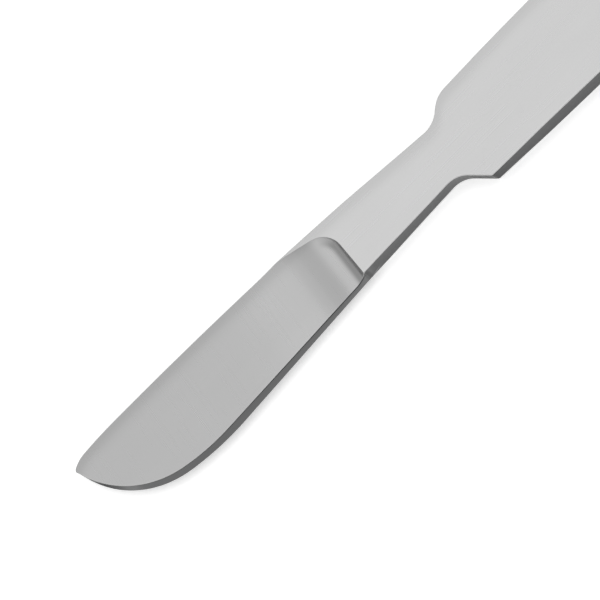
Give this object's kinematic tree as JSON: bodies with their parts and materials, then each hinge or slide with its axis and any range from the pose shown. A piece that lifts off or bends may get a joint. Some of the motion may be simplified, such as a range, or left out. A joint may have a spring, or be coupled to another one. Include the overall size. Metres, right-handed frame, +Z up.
{
  "type": "dissecting scalpel",
  "caption": "Solid steel dissecting scalpel: flat handle with a round butt, waisted neck with sloping shoulders, and a ground blade with a bellied cutting edge.",
  "frame": {"origin": "centre of the scalpel's length and width, on the plane that the handle rests on", "axes": "+X from the point of the blade to the butt of the handle, +Y towards the blunt back of the blade, +Z up through the thickness as it lies on its side"},
  "size_m": [0.16, 0.0126, 0.0023],
  "materials": {
    "steel": "satin stainless steel, finely ground on the blade, a little darker and brighter-edged at the sharpened edge"
  },
  "bodies": {
    "root": {"scalpel": "steel"}
  },
  "joints": []
}
